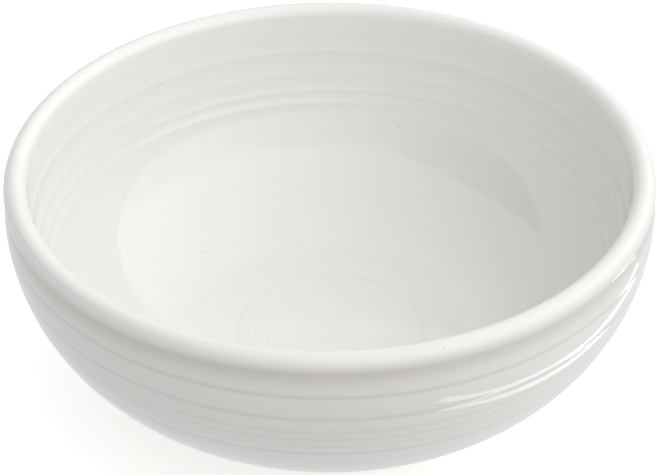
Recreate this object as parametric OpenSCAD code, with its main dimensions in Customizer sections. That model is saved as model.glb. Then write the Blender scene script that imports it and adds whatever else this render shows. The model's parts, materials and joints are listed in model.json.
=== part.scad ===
// Shaving lather bowl of glazed white china.
// One fired clay body, glazed all over except the wiped ring that it stands on.
// The glaze is two coats that never meet: one over the inside, lip and outside,
// and one in the recess under the base.
// Millimetres, +Z up, origin at the centre of the foot, on the table.

/* [Bowl] */
// Height from the table to the top of the lip
bowl_h = 51; // [50:0.5:56]
// Widest diameter, at the belly just under the lip
belly_d = 130.8; // [120:0.2:140]
// Height of the belly, from which both walls turn in towards the base
belly_z = 43; // [42:0.5:44]
// Radius of the round between the outside wall and the base
belly_r = 40; // [38:0.5:41]
// How much narrower the lip is than the belly
lip_taper = 0.6; // [0:0.1:2]
// Thickness of the rounded lip
lip_t = 4.6; // [4:0.1:5.4]
// Thickness of the wall at the belly
wall_t = 5.1; // [4.4:0.1:5.6]
// Height of the inside floor above the table
floor_z = 6.5; // [6.5:0.1:8]

/* [Foot] */
// Outside diameter of the foot ring
foot_d = 74; // [66:1:78]
// Width of the foot ring
foot_w = 4.2; // [3.5:0.1:5]
// Depth of the recess inside the foot ring
recess_h = 2.4; // [2.2:0.1:2.8]
// Radius of the inside corner of the recess
recess_corner_r = 1.2; // [0.6:0.1:1.3]
// Radius worn on both edges of the foot ring
foot_edge_r = 0.7; // [0.4:0.1:0.9]

/* [Neck] */
// Depth of the shallow neck between the lip and the belly
neck_depth = 0.15; // [0:0.05:0.4]
// Height of the lip's top above the neck
neck_drop = 3.4; // [3:0.1:3.8]
// How far the neck spreads up, under the lip
neck_reach_up = 0.8; // [0.6:0.1:1]
// How far the neck spreads down, over the belly
neck_reach_down = 2.4; // [2:0.1:2.6]

/* [Rings] */
// Depth of the rings turned into the outside wall
groove_depth = 0.15; // [0.1:0.05:0.4]
// Height of the ridges between the shallow flutes of the inside wall
ridge_h = 0.2; // [0.1:0.05:0.4]
// Depth of the rings turned into the floor
floor_ring_depth = 0.15; // [0.1:0.05:0.4]
// Half width of a ring
ring_w = 0.7; // [0.5:0.05:0.9]

/* [Glaze] */
// Thickness of the glaze
glaze_t = 0.3; // [0.2:0.05:0.5]
// Height of the wiped edge of the glaze above the table
glaze_line_z = 0.9; // [0.9:0.05:1]
// How much deeper a ring is in the clay than in the glaze that softens it
clay_ring_ratio = 1.3; // [1:0.1:1.6]

/* [Hidden] */
$fn = 180;

lip_r = lip_t / 2;
lip_c = [belly_d / 2 - lip_taper / 2 - lip_r, bowl_h - lip_r];
// Both walls turn in about one centre, the outside on a circle and the inside on
// an ellipse that ends level with the floor.
round_c = [belly_d / 2 - belly_r, belly_z];
cavity_r = [belly_r - wall_t, belly_z - floor_z];
foot_r = foot_d / 2;
recess_r = foot_r - foot_w;

// Heights of the rings below the top of the lip, closer together towards the base
groove_drops = [8.3, 13.7, 17.3, 19.6, 21.7, 24.3];
ridge_drops = [10.7, 16.3, 20.2, 22.7];
// Radii of the rings around the middle of the floor
floor_rings = [13.7, 15.7, 17.6, 19.8];

// Points along each stretch of the outline
belly_steps = 110;
neck_steps = 30;
cavity_steps = 110;
floor_steps = 64;
lip_steps = 24;
edge_steps = 6;

function sum(v, i = 0) = i < len(v) ? v[i] + sum(v, i + 1) : 0;
function reversed(v) = [for (i = [len(v) - 1:-1:0]) v[i]];

// Outline of a turned groove, d away from its middle
function groove_at(d) = exp(-1.4 * pow(d / ring_w, 2));
// Outline of a ridge with a sharp crest and hollow flanks
function ridge_at(d) = exp(-abs(d) / ring_w);

// Outline of the neck, gentler towards the belly than under the lip
function neck_at(z) =
    let (d = bowl_h - neck_drop - z)
    neck_depth * exp(-pow(d / (d > 0 ? neck_reach_down : neck_reach_up), 2));

function wall_grooves(z) = groove_depth * sum([for (d = groove_drops) groove_at(bowl_h - d - z)]);
function wall_ridges(z) = ridge_h * sum([for (d = ridge_drops) ridge_at(bowl_h - d - z)]);
function floor_grooves(r) = floor_ring_depth * sum([for (f = floor_rings) groove_at(f - r)]);

// Points of an arc about c, from angle a0 to a1, in n steps
function arc(c, r, a0, a1, n) =
    [for (i = [0:n]) let (a = a0 + (a1 - a0) * i / n) c + r * [cos(a), sin(a)]];

// Angle at which the outside round, taken in by t, meets the foot ring
function foot_angle(t) = -acos((foot_r - t - round_c.x) / (belly_r - t));

// In these outlines t is how far the surface lies under the glaze, and k is how
// many times deeper than on the glaze its rings are.

// Outside round, from the foot ring up to the belly
function belly_curve(t, k) =
    [for (i = [0:belly_steps])
        let (a = foot_angle(t) * (1 - i / belly_steps), z = round_c.y + belly_r * sin(a))
        round_c + (belly_r - t - k * wall_grooves(z)) * [cos(a), sin(a)]];

// Neck, from the belly up to the lip
function neck_curve(t, k) =
    [for (i = [1:neck_steps - 1])
        let (s = i / neck_steps, z = round_c.y + s * (lip_c.y - round_c.y))
        [belly_d / 2 - s * lip_taper / 2 - t - neck_at(z) - k * wall_grooves(z), z]];

// Lip, from outside to inside, with the top of the neck in its outer half
function lip_curve(t) =
    [for (p = arc(lip_c, lip_r - t, 0, 180, lip_steps)) p - [p.x > lip_c.x ? neck_at(p.y) : 0, 0]];

// Inside round, from the wall down to the floor
function cavity_curve(t, k) =
    [for (i = [0:cavity_steps])
        let (
            a = -90 * i / cavity_steps,
            z = round_c.y + cavity_r.y * sin(a),
            lift = t - k * wall_ridges(z)
        )
        round_c + [(cavity_r.x + lift) * cos(a), (cavity_r.y + lift) * sin(a)]];

// Floor, from the end of the inside round to the axis
function floor_curve(t, k) =
    [for (i = [1:floor_steps])
        let (r = round_c.x * (1 - i / floor_steps))
        [r, floor_z - t - k * floor_grooves(r)]];

// Everything that the main coat covers: outside, lip and inside
function main_curve(t, k) = concat(
    belly_curve(t, k),
    neck_curve(t, k),
    lip_curve(t),
    cavity_curve(t, k),
    floor_curve(t, k));

// Underside inside the foot ring, from the axis out and down the ring's inner face
function recess_curve(t) = concat(
    [[0, recess_h + t]],
    arc([recess_r - recess_corner_r, recess_h - recess_corner_r], recess_corner_r + t, 90, 0, edge_steps),
    [[recess_r + t, glaze_line_z]]);

// The bare ring that the bowl stands on, with its rounded edges
foot_curve = concat(
    [[recess_r, glaze_line_z]],
    arc([recess_r + foot_edge_r, foot_edge_r], foot_edge_r, 180, 270, edge_steps),
    arc([foot_r - foot_edge_r, foot_edge_r], foot_edge_r, 270, 360, edge_steps),
    [[foot_r, glaze_line_z]]);

module turned(points) {
    rotate_extrude() polygon(points);
}

module clay_body() {
    color("ivory") turned(concat(
        recess_curve(glaze_t),
        foot_curve,
        [[foot_r - glaze_t, glaze_line_z]],
        main_curve(glaze_t, clay_ring_ratio)));
}

module outer_glaze() {
    color("whitesmoke") turned(concat(
        [[foot_r, glaze_line_z]],
        main_curve(0, 1),
        reversed(main_curve(glaze_t, clay_ring_ratio)),
        [[foot_r - glaze_t, glaze_line_z]]));
}

module recess_glaze() {
    color("whitesmoke") turned(concat(recess_curve(0), reversed(recess_curve(glaze_t))));
}

clay_body();
outer_glaze();
recess_glaze();
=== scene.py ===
"""Looks of a shaving lather bowl in glazed white china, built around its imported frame.

The bowl was turned, fired, and dipped in a glossy white glaze that was wiped off the
ring it stands on. The clay body is kept as packed. The two coats of glaze are turned
again here on a much finer outline, with the soft rings that the turning tool left.

Pieces are in metres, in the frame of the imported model: +Z up, the foot on z = 0.
Sizes that a potter would read off a drawing are written in millimetres.
"""

import json
import logging
import math
from dataclasses import dataclass, field
from enum import Enum
from typing import Any

import bpy
from mathutils import Matrix, Vector

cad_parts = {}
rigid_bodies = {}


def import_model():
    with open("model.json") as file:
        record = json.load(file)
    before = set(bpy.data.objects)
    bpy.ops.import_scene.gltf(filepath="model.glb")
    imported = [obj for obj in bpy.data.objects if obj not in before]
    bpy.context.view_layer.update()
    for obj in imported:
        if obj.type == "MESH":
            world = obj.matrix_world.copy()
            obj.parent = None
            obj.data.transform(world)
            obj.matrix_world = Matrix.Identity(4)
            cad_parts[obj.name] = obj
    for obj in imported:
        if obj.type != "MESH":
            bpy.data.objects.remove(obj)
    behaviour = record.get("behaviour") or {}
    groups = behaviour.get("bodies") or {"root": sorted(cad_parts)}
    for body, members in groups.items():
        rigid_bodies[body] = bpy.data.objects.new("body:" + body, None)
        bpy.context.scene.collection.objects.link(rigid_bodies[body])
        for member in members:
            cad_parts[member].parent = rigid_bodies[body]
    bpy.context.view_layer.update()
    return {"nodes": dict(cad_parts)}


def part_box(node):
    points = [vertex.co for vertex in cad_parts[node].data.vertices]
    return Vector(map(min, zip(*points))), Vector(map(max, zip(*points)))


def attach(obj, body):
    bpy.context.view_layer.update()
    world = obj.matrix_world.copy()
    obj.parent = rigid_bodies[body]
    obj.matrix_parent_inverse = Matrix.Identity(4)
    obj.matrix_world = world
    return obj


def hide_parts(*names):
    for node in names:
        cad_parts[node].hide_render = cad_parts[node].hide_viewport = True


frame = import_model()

logging.basicConfig(level=logging.INFO, format="%(levelname)s %(name)s: %(message)s")
log = logging.getLogger("lather_bowl")

MM = 0.001
# Point attribute of warm grey: partly pooled glaze, partly painted shade in the grooves and under the
# lip.
POOL_AND_SHADE = "glaze_pool_and_painted_shade"
EDGE_STEPS = 6
CORNER_STEPS = 12
Point = tuple[float, float]
Rgba = tuple[float, float, float, float]


def linear_rgba(hex_colour: str) -> Rgba:
    """Turn an sRGB hex colour into the linear colour that a shader takes.

    Args:
        hex_colour: Six hex digits, such as "f4f3ee".

    Returns:
        Red, green, blue and an alpha of 1, linear.
    """
    shares = (int(hex_colour[i:i + 2], 16) / 255 for i in (0, 2, 4))
    red, green, blue = (s / 12.92 if s <= 0.04045 else ((s + 0.055) / 1.055) ** 2.4 for s in shares)
    return red, green, blue, 1.0


def add_node(tree: bpy.types.NodeTree, kind: str, inputs: dict[Any, Any] | None = None,
             **settings: Any) -> bpy.types.Node:
    """Add one shader node with its settings and its links.

    Args:
        tree: Node tree that takes the node.
        kind: Type of the node, such as "ShaderNodeTexNoise".
        inputs: Input name or number, with a value or an output socket to link.
        settings: Properties of the node.

    Returns:
        The new node.
    """
    node = tree.nodes.new(kind)
    for name, value in settings.items():
        setattr(node, name, value)
    for name, value in (inputs or {}).items():
        if isinstance(value, bpy.types.NodeSocket):
            tree.links.new(value, node.inputs[name])
        else:
            node.inputs[name].default_value = value
    return node


def new_material(name: str) -> tuple[bpy.types.Material, bpy.types.NodeTree]:
    """Make an empty node material.

    Args:
        name: Name of the finish.

    Returns:
        The material and its cleared node tree.
    """
    material = bpy.data.materials.new(name)
    material.use_nodes = True
    material.node_tree.nodes.clear()
    return material, material.node_tree


@dataclass(frozen=True)
class ChinaGlaze:
    """Clear glossy glaze over white china, dipped and fired.

    It gives the eye a bright white with a very slight warmth, sharp but gentle
    reflections, hardly visible waves, a few tiny faint specks, and a warmer
    grey in the grooves and under the lip that is partly glaze pooled there and
    partly painted shade; the band under the lip is mostly painted shade.
    """

    name: str = "white_china_glaze"
    white: str = "ecebe8"
    warm_white: str = "e9e7e4"
    # Warm grey of pooled glaze, also painted in as shade in the grooves and under the lip.
    pooled_and_shaded: str = "c9c3ba"
    speck: str = "cbc6be"
    roughness: float = 0.035
    ior: float = 1.58
    cloud_mm: float = 30.0
    speck_gap_mm: float = 4.0
    speck_radius_mm: float = 0.26
    speck_core: float = 0.5
    wave_mm: float = 9.0
    wave_height_mm: float = 0.006

    def material(self) -> bpy.types.Material:
        """Build the glaze's material.

        Returns:
            The material, read on Object coordinates.
        """
        material, tree = new_material(self.name)
        place = add_node(tree, "ShaderNodeTexCoord").outputs["Object"]
        clouds = add_node(tree, "ShaderNodeTexNoise", {
            "Vector": place, "Scale": 1 / (self.cloud_mm * MM), "Detail": 2.0})
        thin = add_node(tree, "ShaderNodeMix", {
            "Factor": clouds.outputs["Fac"],
            "A": linear_rgba(self.white), "B": linear_rgba(self.warm_white)}, data_type="RGBA")
        # Mixes in the warm grey: partly pooled glaze, partly painted shade in the grooves and under the
        # lip.
        pool_shade_node = add_node(tree, "ShaderNodeAttribute", attribute_name=POOL_AND_SHADE)
        base = add_node(tree, "ShaderNodeMix", {
            "Factor": pool_shade_node.outputs["Fac"],
            "A": thin.outputs["Result"], "B": linear_rgba(self.pooled_and_shaded)}, data_type="RGBA")
        cells = add_node(tree, "ShaderNodeTexVoronoi", {
            "Vector": place, "Scale": 1 / (self.speck_gap_mm * MM)})
        near = self.speck_radius_mm / self.speck_gap_mm
        dots = add_node(tree, "ShaderNodeMapRange", {
            "Value": cells.outputs["Distance"], "From Min": near * self.speck_core, "From Max": near,
            "To Min": 1.0, "To Max": 0.0}, interpolation_type="SMOOTHSTEP")
        shade = add_node(tree, "ShaderNodeSeparateColor", {"Color": cells.outputs["Color"]})
        strength = add_node(tree, "ShaderNodeMath", {
            0: dots.outputs["Result"], 1: shade.outputs["Red"]}, operation="MULTIPLY")
        colour = add_node(tree, "ShaderNodeMix", {
            "Factor": strength.outputs["Value"],
            "A": base.outputs["Result"], "B": linear_rgba(self.speck)}, data_type="RGBA")
        waves = add_node(tree, "ShaderNodeTexNoise", {
            "Vector": place, "Scale": 1 / (self.wave_mm * MM), "Detail": 1.0})
        bump = add_node(tree, "ShaderNodeBump", {
            "Height": waves.outputs["Fac"], "Distance": self.wave_height_mm * MM, "Strength": 1.0})
        shader = add_node(tree, "ShaderNodeBsdfPrincipled", {
            "Base Color": colour.outputs["Result"], "Roughness": self.roughness, "IOR": self.ior,
            "Normal": bump.outputs["Normal"]})
        add_node(tree, "ShaderNodeOutputMaterial", {"Surface": shader.outputs["BSDF"]})
        return material


@dataclass(frozen=True)
class BareClay:
    """Fired white clay that no glaze covers, rubbed where it stands.

    It gives the eye a matt creamy ring, with the fine grain of fired clay and a
    grey bloom on the flat that slides over shelves.
    """

    name: str = "bare_fired_clay"
    clay: str = "e6dfd2"
    grain: str = "d3c9b8"
    rubbed: str = "b5aea3"
    roughness: float = 0.75
    grain_mm: float = 0.6
    rub_mm: float = 7.0
    rub_top_mm: float = 0.35
    rub_strength: float = 0.8
    grain_height_mm: float = 0.03
    grain_relief: float = 0.6

    def material(self) -> bpy.types.Material:
        """Build the clay's material.

        Returns:
            The material, read on Object coordinates.
        """
        material, tree = new_material(self.name)
        place = add_node(tree, "ShaderNodeTexCoord").outputs["Object"]
        grain = add_node(tree, "ShaderNodeTexNoise", {
            "Vector": place, "Scale": 1 / (self.grain_mm * MM), "Detail": 4.0})
        fired = add_node(tree, "ShaderNodeMix", {
            "Factor": grain.outputs["Fac"],
            "A": linear_rgba(self.clay), "B": linear_rgba(self.grain)}, data_type="RGBA")
        patches = add_node(tree, "ShaderNodeTexNoise", {
            "Vector": place, "Scale": 1 / (self.rub_mm * MM), "Detail": 3.0})
        height = add_node(tree, "ShaderNodeSeparateXYZ", {"Vector": place})
        low = add_node(tree, "ShaderNodeMapRange", {
            "Value": height.outputs["Z"], "From Min": 0.0, "From Max": self.rub_top_mm * MM,
            "To Min": self.rub_strength, "To Max": 0.0})
        rub = add_node(tree, "ShaderNodeMath", {
            0: low.outputs["Result"], 1: patches.outputs["Fac"]}, operation="MULTIPLY")
        colour = add_node(tree, "ShaderNodeMix", {
            "Factor": rub.outputs["Value"],
            "A": fired.outputs["Result"], "B": linear_rgba(self.rubbed)}, data_type="RGBA")
        bump = add_node(tree, "ShaderNodeBump", {
            "Height": grain.outputs["Fac"], "Distance": self.grain_height_mm * MM,
            "Strength": self.grain_relief})
        shader = add_node(tree, "ShaderNodeBsdfPrincipled", {
            "Base Color": colour.outputs["Result"], "Roughness": self.roughness,
            "Normal": bump.outputs["Normal"]})
        add_node(tree, "ShaderNodeOutputMaterial", {"Surface": shader.outputs["BSDF"]})
        return material


@dataclass(frozen=True)
class LightTable:
    """White acrylic sheet lit from below: a pale floor that glows a little, faintly uneven."""

    name: str = "lit_white_acrylic"
    acrylic: str = "f8f8f7"
    shade: str = "f3f3f1"
    roughness: float = 0.9
    sheen: float = 0.1
    glow: float = 0.42
    cloud_mm: float = 400.0

    def material(self) -> bpy.types.Material:
        """Build the sheet's material.

        Returns:
            The material, read on Object coordinates.
        """
        material, tree = new_material(self.name)
        place = add_node(tree, "ShaderNodeTexCoord").outputs["Object"]
        clouds = add_node(tree, "ShaderNodeTexNoise", {
            "Vector": place, "Scale": 1 / (self.cloud_mm * MM), "Detail": 2.0})
        colour = add_node(tree, "ShaderNodeMix", {
            "Factor": clouds.outputs["Fac"],
            "A": linear_rgba(self.acrylic), "B": linear_rgba(self.shade)}, data_type="RGBA")
        shader = add_node(tree, "ShaderNodeBsdfPrincipled", {
            "Base Color": colour.outputs["Result"], "Roughness": self.roughness,
            "Specular IOR Level": self.sheen, "Emission Color": linear_rgba(self.acrylic),
            "Emission Strength": self.glow})
        add_node(tree, "ShaderNodeOutputMaterial", {"Surface": shader.outputs["BSDF"]})
        return material


class Mark(Enum):
    """What the turning tool left."""

    GROOVE = "a shallow cut between two soft bands"
    SHELF = "a soft ridge whose steeper side faces up"
    NECK = "a broad hollow under the lip, gentle towards the belly"


@dataclass(frozen=True)
class Ring:
    """One ring left by the turning tool.

    Attributes:
        at: Drop below the lip's top, or radius on the floor, in millimetres.
        size: Depth of a groove or neck, or height of a shelf, in millimetres.
        reach: How far it spreads, in millimetres: above a shelf's crest, below a
            neck's middle, and to both sides of a groove.
        mark: What kind of ring it is.
        pool_and_shade: How much pooled glaze and painted shade it holds, from 0 to 1.
    """

    at: float
    size: float
    reach: float
    mark: Mark = Mark.GROOVE
    # Share of warm grey: partly pooled glaze, partly painted shade.
    pool_and_shade: float = 0.0

    # How far a ridge spreads below its crest, and the neck above its middle
    SHELF_UNDERSIDE = 1.5
    NECK_TOP = 0.8
    # How much a crest or the bottom of a groove is rounded
    ROUNDED = 0.16
    # How far pooled glaze and painted shade spread in a groove
    POOL_SHADE_WIDTH = 0.45

    def lift(self, along: float) -> float:
        """Return how far the surface stands proud, at a place along the wall or floor."""
        away = along - self.at
        if self.mark is Mark.NECK:
            side = self.reach if away > 0 else self.NECK_TOP
            return -self.size * math.exp(-(away / side) ** 2)
        soft = math.hypot(away, self.ROUNDED) - self.ROUNDED
        if self.mark is Mark.SHELF:
            side = self.SHELF_UNDERSIDE if away > 0 else self.reach
            return self.size * math.exp(-soft / side)
        return -self.size * math.exp(-soft / self.reach)

    def pool_and_shade_near(self, along: float) -> float:
        """Return how much pooled glaze and painted shade lie at a place, from 0 to 1."""
        width = self.POOL_SHADE_WIDTH
        if self.mark is Mark.NECK:
            width = self.reach if along > self.at else self.NECK_TOP
        return self.pool_and_shade * math.exp(-((along - self.at) / width) ** 2)


def lift_of(rings: tuple[Ring, ...], along: float) -> float:
    """Return the sum of the rings' lifts at one place, in millimetres."""
    return sum(ring.lift(along) for ring in rings)


def pool_and_shade_of(rings: tuple[Ring, ...], along: float) -> float:
    """Return the sum of the rings' pooled glaze and painted shade at one place."""
    return sum(ring.pool_and_shade_near(along) for ring in rings)


def arc(centre: Point, radius: float, start_deg: float, end_deg: float, steps: int) -> list[Point]:
    """Place points along an arc.

    Args:
        centre: Radius and height of the arc's centre.
        radius: Radius of the arc.
        start_deg: Angle of the first point.
        end_deg: Angle of the last point.
        steps: Number of stretches between points.

    Returns:
        The points, first and last included.
    """
    points = []
    for i in range(steps + 1):
        turn = math.radians(start_deg + (end_deg - start_deg) * i / steps)
        points.append((centre[0] + radius * math.cos(turn), centre[1] + radius * math.sin(turn)))
    return points


@dataclass
class BowlOutline:
    """Outline of the bowl's glazed surface, in millimetres, half of a cut through its middle.

    The height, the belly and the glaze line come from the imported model's boxes. The
    other sizes repeat the part's own driving dimensions.

    Attributes:
        height: Height of the lip's top.
        belly: Largest radius.
        glaze_line: Height of the wiped edge of the glaze.
        foot: Outside radius of the foot ring.
        clay_ratio: How many times as deep as on the glaze the rings are in the clay.
        skin_steps: Stretches of the outside, neck, lip, inside and floor, on the glaze.
        clay_steps: The same, on the clay.
    """

    height: float
    belly: float
    glaze_line: float
    foot: float = 37.0
    belly_z: float = 43.0
    belly_round: float = 40.0
    lip: float = 4.6
    lip_taper: float = 0.3
    wall: float = 5.1
    floor: float = 6.5
    glaze: float = 0.3
    foot_width: float = 4.2
    recess: float = 2.4
    recess_corner: float = 1.2
    clay_ratio: float = 1.3
    skin_steps: tuple[int, ...] = (140, 26, 28, 150, 60)
    clay_steps: tuple[int, ...] = (32, 8, 10, 34, 16)
    # The last number of each ring is its warm grey, partly pooled glaze and partly painted shade; the
    # neck's large value paints the shade under the lip.
    outer_rings: tuple[Ring, ...] = (
        Ring(3.4, 0.15, 2.4, Mark.NECK, 0.55),
        Ring(8.3, 0.11, 0.8, pool_and_shade=0.4), Ring(13.7, 0.10, 0.8, pool_and_shade=0.35),
        Ring(17.3, 0.05, 0.7, pool_and_shade=0.2), Ring(19.6, 0.05, 0.7, pool_and_shade=0.2),
        Ring(21.7, 0.03, 0.7, pool_and_shade=0.12), Ring(24.3, 0.09, 0.8, pool_and_shade=0.35))
    inner_rings: tuple[Ring, ...] = (
        Ring(10.7, 0.27, 0.9, Mark.SHELF, 0.03), Ring(16.3, 0.21, 0.8, Mark.SHELF, 0.03),
        Ring(20.2, 0.19, 0.7, Mark.SHELF, 0.12), Ring(22.7, 0.25, 0.9, Mark.SHELF, 0.04))
    floor_rings: tuple[Ring, ...] = (
        Ring(13.7, 0.03, 0.5, pool_and_shade=0.06), Ring(15.7, 0.03, 0.5, pool_and_shade=0.06),
        Ring(17.6, 0.03, 0.5, pool_and_shade=0.06), Ring(19.8, 0.05, 0.5, pool_and_shade=0.15))

    @property
    def round_centre(self) -> Point:
        """Radius and height of the centre that both walls turn in about."""
        return self.belly - self.belly_round, self.belly_z

    def outside(self, under: float, ratio: float, steps: int) -> list[Point]:
        """Trace the outside, from the foot ring up to the belly.

        Args:
            under: How far below the glaze's surface.
            ratio: How many times as deep as on the glaze the rings are.
            steps: Number of stretches between points.

        Returns:
            Points as radius and height.
        """
        x, z = self.round_centre
        first = math.acos((self.foot - under - x) / (self.belly_round - under))
        points = []
        for i in range(steps + 1):
            turn = -first * (1 - i / steps)
            drop = self.height - (z + self.belly_round * math.sin(turn))
            reach = self.belly_round - under + ratio * lift_of(self.outer_rings, drop)
            points.append((x + reach * math.cos(turn), z + reach * math.sin(turn)))
        return points

    def neck(self, under: float, ratio: float, steps: int) -> list[Point]:
        """Trace the neck, from just above the belly to just below the lip's round.

        Args:
            under: How far below the glaze's surface.
            ratio: How many times as deep as on the glaze the rings are.
            steps: Number of stretches between the belly and the lip's round.

        Returns:
            Points as radius and height.
        """
        points = []
        for i in range(1, steps):
            share = i / steps
            z = self.belly_z + share * (self.height - self.lip / 2 - self.belly_z)
            hollow = ratio * lift_of(self.outer_rings, self.height - z)
            points.append((self.belly - share * self.lip_taper - under + hollow, z))
        return points

    def rim(self, under: float, ratio: float, steps: int) -> list[Point]:
        """Trace the half round of the lip, from outside to inside.

        Args:
            under: How far below the glaze's surface.
            ratio: How many times as deep as on the glaze the rings are.
            steps: Number of stretches between points.

        Returns:
            Points as radius and height.
        """
        radius = self.lip / 2
        middle = self.belly - self.lip_taper - radius
        points = []
        for x, z in arc((middle, self.height - radius), radius - under, 0, 180, steps):
            hollow = ratio * lift_of(self.outer_rings, self.height - z) if x > middle else 0.0
            points.append((x + hollow, z))
        return points

    def inside(self, under: float, ratio: float, steps: int) -> list[Point]:
        """Trace the inside, from the belly down to the floor.

        Args:
            under: How far below the glaze's surface.
            ratio: How many times as high as on the glaze the rings are.
            steps: Number of stretches between points.

        Returns:
            Points as radius and height.
        """
        x, z = self.round_centre
        wide, deep = self.belly_round - self.wall, self.belly_z - self.floor
        points = []
        for i in range(steps + 1):
            turn = -math.pi / 2 * i / steps
            drop = self.height - (z + deep * math.sin(turn))
            back = under - ratio * lift_of(self.inner_rings, drop)
            points.append((x + (wide + back) * math.cos(turn), z + (deep + back) * math.sin(turn)))
        return points

    def base(self, under: float, ratio: float, steps: int) -> list[Point]:
        """Trace the floor, from the end of the inside round to the middle."""
        wide = self.round_centre[0]
        radii = [wide * (1 - i / steps) for i in range(1, steps + 1)]
        return [(r, self.floor - under + ratio * lift_of(self.floor_rings, r)) for r in radii]

    def surface(self, under: float, ratio: float, steps: tuple[int, ...]) -> list[Point]:
        """Trace the whole surface that the main coat covers, from the foot to the middle of the floor.

        Args:
            under: How far below the glaze's surface.
            ratio: How many times as deep as on the glaze the rings are.
            steps: Numbers of stretches of the outside, neck, lip, inside and floor.

        Returns:
            Points as radius and height.
        """
        traces = (self.outside, self.neck, self.rim, self.inside, self.base)
        return [point for trace, count in zip(traces, steps) for point in trace(under, ratio, count)]

    def edge(self, inner: float) -> list[Point]:
        """Trace the round wiped edge of a coat, from its inner to its outer radius."""
        bead = self.glaze / 2
        return arc((inner + bead, self.glaze_line + bead), bead, 180, 360, EDGE_STEPS)

    def main_coat(self) -> list[Point]:
        """Trace the closed outline of the glaze over the outside, lip and inside."""
        skin = self.surface(0, 1, self.skin_steps)
        clay = self.surface(self.glaze, self.clay_ratio, self.clay_steps)
        return skin + clay[::-1] + self.edge(self.foot - self.glaze) + skin[:1]

    def pool_and_shade_at(self, point: Point) -> float:
        """Return how much pooled glaze and painted shade lie at a point of the skin, from 0 to 1."""
        x, z = point
        middle, level = self.round_centre
        if x < middle:
            return pool_and_shade_of(self.floor_rings, x) if z > self.recess + self.glaze else 0.0
        from_centre = math.hypot(x - middle, min(z - level, 0))
        rings = self.outer_rings if from_centre > self.belly_round - self.wall / 2 else self.inner_rings
        return pool_and_shade_of(rings, self.height - z)

    def recess_coat(self) -> list[Point]:
        """Trace the outline of the glaze in the recess under the base, from the axis and back."""
        inner = self.foot - self.foot_width
        centre = (inner - self.recess_corner, self.recess - self.recess_corner)
        skin, clay = (
            [(0.0, self.recess + under)] + arc(centre, self.recess_corner + under, 90, 0, CORNER_STEPS)
            for under in (0.0, self.glaze))
        return skin + self.edge(inner) + clay[::-1]


@dataclass
class TurnedCoat:
    """A coat of glaze, turned about the bowl's axis from a closed outline.

    Attributes:
        name: Name of the piece.
        outline: Points as radius and height in millimetres.
        node: CAD node that the piece stands for.
        bowl: The bowl's outline, which knows where glaze pooled and where shade is painted.
        slot: Material slot of the record; not used.
        sides: Number of steps around.
        merge_mm: Distance below which points are one.
    """

    name: str
    outline: list[Point]
    node: str
    bowl: BowlOutline
    slot: str = "white_glaze"
    sides: int = 192
    merge_mm: float = 0.002

    def model(self) -> bpy.types.Object:
        """Draw the outline as a chain of edges and turn it about the axis.

        Returns:
            The piece, with its object at the origin.
        """
        bpy.ops.object.select_all(action="DESELECT")
        first = self.place(self.outline[0])
        bpy.ops.mesh.primitive_plane_add(size=MM, location=(0, 0, 0))
        piece = bpy.context.object
        piece.name = piece.data.name = self.name
        bpy.ops.object.mode_set(mode="EDIT")
        bpy.ops.mesh.select_all(action="SELECT")
        bpy.ops.mesh.merge(type="CENTER")
        bpy.ops.transform.translate(value=first)
        here = first
        for point in self.outline[1:]:
            there = self.place(point)
            bpy.ops.mesh.extrude_region_move(TRANSFORM_OT_translate={"value": there - here})
            here = there
        bpy.ops.mesh.select_all(action="SELECT")
        bpy.ops.mesh.spin(steps=self.sides, angle=math.tau, center=(0, 0, 0), axis=(0, 0, 1))
        bpy.ops.mesh.select_all(action="SELECT")
        bpy.ops.mesh.remove_doubles(threshold=self.merge_mm * MM)
        bpy.ops.mesh.select_all(action="SELECT")
        bpy.ops.mesh.normals_make_consistent(inside=False)
        bpy.ops.object.mode_set(mode="OBJECT")
        bpy.ops.object.shade_smooth()
        return piece

    def place(self, point: Point) -> Vector:
        """Turn a radius and height in millimetres into a place in metres."""
        return Vector((point[0] * MM, 0, point[1] * MM))

    def mark_pools_and_shade(self, piece: bpy.types.Object) -> None:
        """Note on each point of the mesh how much pooled glaze and painted shade it has."""
        pools_and_shade = piece.data.attributes.new(POOL_AND_SHADE, "FLOAT", "POINT")
        for vertex, value in zip(piece.data.vertices, pools_and_shade.data):
            x, y, z = vertex.co / MM
            value.value = self.bowl.pool_and_shade_at((math.hypot(x, y), z))

    def build(self, finish: bpy.types.Material) -> bpy.types.Object:
        """Model the coat, glaze it and tie it to the frame.

        Args:
            finish: The glaze's material.

        Returns:
            The finished piece.
        """
        piece = self.model()
        self.mark_pools_and_shade(piece)
        piece.data.materials.append(finish)
        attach(piece, "root")
        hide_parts(self.node)
        log.info("%s: %d points in its outline, %d faces", self.name, len(self.outline),
                 len(piece.data.polygons))
        return piece


@dataclass(frozen=True)
class SoftBox:
    """A flat soft light.

    Attributes:
        name: Name of the light.
        place: Where its middle hangs, in metres.
        face: Which way it faces.
        size: Width and height, in metres.
        brightness: Radiance of its face, where a fully lit white sheet is about 1.
    """

    name: str
    place: tuple[float, float, float]
    face: tuple[float, float, float]
    size: tuple[float, float]
    brightness: float

    def build(self) -> bpy.types.Object:
        """Hang the light.

        Returns:
            The light's object.
        """
        data = bpy.data.lights.new(self.name, "AREA")
        data.shape = "RECTANGLE"
        data.size, data.size_y = self.size
        data.energy = self.brightness * math.pi * self.size[0] * self.size[1]
        light = bpy.data.objects.new(self.name, data)
        light.location = self.place
        light.rotation_euler = Vector(self.face).to_track_quat("-Z", "Y").to_euler()
        light.visible_camera = False
        bpy.context.scene.collection.objects.link(light)
        return light


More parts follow.
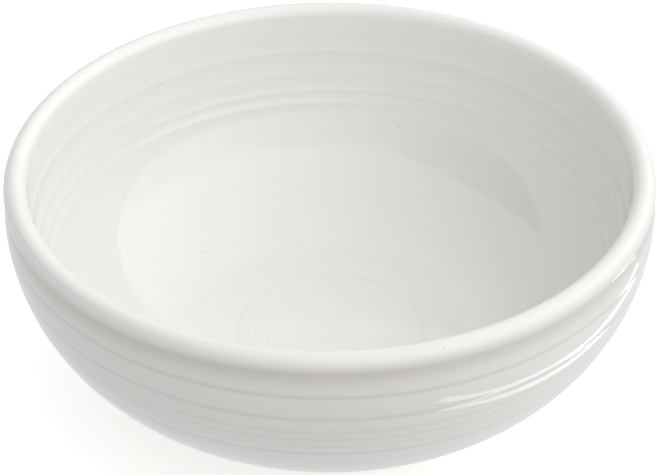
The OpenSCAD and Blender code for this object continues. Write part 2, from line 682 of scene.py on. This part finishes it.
@dataclass
class Studio:
    """Lit table, plain soft room light that is brighter on one side, and soft boxes.

    Attributes:
        floor_size: Side of the floor, in metres.
        level: Light from the level of the table.
        top: Light from straight above.
        below: How much less light comes from below.
        side: How much brighter one side is than the middle.
        bright_side: Level direction of the bright side.
        front: How much darker the front is, low down.
        side_rise: Heights between which the bright side comes up.
        under_fall: Heights between which the light from below falls off.
        front_reach: How far forward the front is darkest.
        front_fall: Heights between which the front grows dark.
        boxes: The soft boxes.
    """

    floor_size: float = 6.0
    level: float = 1.12
    top: float = 0.58
    below: float = 0.10
    side: float = 1.0
    bright_side: tuple[float, float, float] = (0.91, -0.42, 0.0)
    front: float = 0.47
    side_rise: tuple[float, float] = (0.03, 0.40)
    under_fall: tuple[float, float] = (0.05, -0.3)
    front_reach: float = -0.9
    front_fall: tuple[float, float] = (0.25, -0.05)
    boxes: tuple[SoftBox, ...] = (
        SoftBox("overhead", (0.14, -0.21, 0.55), (0.03, -0.48, -0.88), (1.16, 1.44), 0.63),
        SoftBox("table_strip", (0.074, -0.035, 0.003), (-0.25, 0.165, 0.95), (0.12, 0.006), 1.7),
    )

    def lay_floor(self) -> None:
        """Lay the pale floor. Its light on the bowl is part of the room's light."""
        bpy.ops.object.select_all(action="DESELECT")
        bpy.ops.mesh.primitive_grid_add(x_subdivisions=8, y_subdivisions=8, size=self.floor_size)
        floor = bpy.context.object
        floor.name = floor.data.name = "light_table"
        floor.data.materials.append(LightTable().material())
        floor.visible_diffuse = False
        floor.visible_glossy = False
        floor.visible_shadow = False

    def light_room(self) -> None:
        """Light the room with a plain soft dome, brighter on one side and darker low down in front."""
        world = bpy.data.worlds.new("room")
        world.use_nodes = True
        tree = world.node_tree
        tree.nodes.clear()
        way = add_node(tree, "ShaderNodeTexCoord").outputs["Generated"]
        axes = add_node(tree, "ShaderNodeSeparateXYZ", {"Vector": way}).outputs
        sideways = add_node(tree, "ShaderNodeVectorMath", {
            0: way, 1: self.bright_side}, operation="DOT_PRODUCT").outputs["Value"]

        def ramp(value: bpy.types.NodeSocket, start: float, end: float, first: float,
                 last: float) -> bpy.types.NodeSocket:
            """Go evenly from first to last while the value goes from start to end."""
            return add_node(tree, "ShaderNodeMapRange", {
                "Value": value, "From Min": start, "From Max": end,
                "To Min": first, "To Max": last}).outputs["Result"]

        def combine(first: bpy.types.NodeSocket, second: bpy.types.NodeSocket,
                    operation: str) -> bpy.types.NodeSocket:
            """Combine two values."""
            return add_node(tree, "ShaderNodeMath", {0: first, 1: second}, operation=operation).outputs[0]

        dome = ramp(axes["Z"], 0.0, 1.0, self.level, self.top)
        one_side = combine(sideways, ramp(axes["Z"], *self.side_rise, 0.0, self.side), "MULTIPLY")
        under = ramp(axes["Z"], *self.under_fall, 0.0, self.below)
        front = combine(ramp(axes["Y"], 0.0, self.front_reach, 0.0, self.front),
                        ramp(axes["Z"], *self.front_fall, 0.0, 1.0), "MULTIPLY")
        light = combine(combine(dome, one_side, "ADD"), combine(under, front, "ADD"), "SUBTRACT")
        sky = add_node(tree, "ShaderNodeBackground", {"Strength": light})
        add_node(tree, "ShaderNodeOutputWorld", {"Surface": sky.outputs["Background"]})
        bpy.context.scene.world = world

    def build(self) -> None:
        """Lay the floor, light the room and hang the soft boxes."""
        self.lay_floor()
        self.light_room()
        for box in self.boxes:
            box.build()
        bpy.context.scene.view_settings.view_transform = "Standard"


@dataclass(frozen=True)
class Camera:
    """A long lens looking down into the bowl, from a distance in metres."""

    distance: float = 0.4102
    look_down_deg: float = 35.59
    level_deg: float = -0.26
    lens_mm: float = 108.53
    sensor_mm: float = 36.0
    nearest: float = 0.01
    aim_height: float = 0.0309

    def build(self) -> bpy.types.Object:
        """Make the camera and give it to the scene.

        Returns:
            The camera's object.
        """
        data = bpy.data.cameras.new("camera")
        data.sensor_fit = "HORIZONTAL"
        data.sensor_width = self.sensor_mm
        data.lens = self.lens_mm
        data.clip_start = self.nearest
        camera = bpy.data.objects.new("camera", data)
        tilt = Matrix.Rotation(math.radians(90 - self.look_down_deg), 4, "X")
        level = Matrix.Rotation(math.radians(self.level_deg), 4, "Z")
        back = Matrix.Translation((0, 0, self.distance))
        camera.matrix_world = Matrix.Translation((0, 0, self.aim_height)) @ tilt @ level @ back
        bpy.context.scene.collection.objects.link(camera)
        bpy.context.scene.camera = camera
        return camera


@dataclass
class LatherBowl:
    """The whole bowl: its clay body and the two coats of glaze on it."""

    glaze: ChinaGlaze = field(default_factory=ChinaGlaze)
    clay: BareClay = field(default_factory=BareClay)

    def outline(self) -> BowlOutline:
        """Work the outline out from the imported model's boxes."""
        coat_low, coat_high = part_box("outer_glaze")
        return BowlOutline(height=coat_high.z / MM, belly=coat_high.x / MM, glaze_line=coat_low.z / MM)

    def build(self) -> None:
        """Build and dress every piece."""
        bowl = self.outline()
        white = self.glaze.material()
        TurnedCoat("main_glaze", bowl.main_coat(), "outer_glaze", bowl).build(white)
        TurnedCoat("base_glaze", bowl.recess_coat(), "recess_glaze", bowl).build(white)
        body = frame["nodes"]["clay_body"]
        for slot in body.material_slots:
            slot.material = self.clay.material()
        log.info("clay_body: dressed as %s", self.clay.name)


def main() -> None:
    """Build the camera, the bowl and the studio."""
    Camera().build()
    LatherBowl().build()
    Studio().build()


if __name__ == "__main__":
    main()
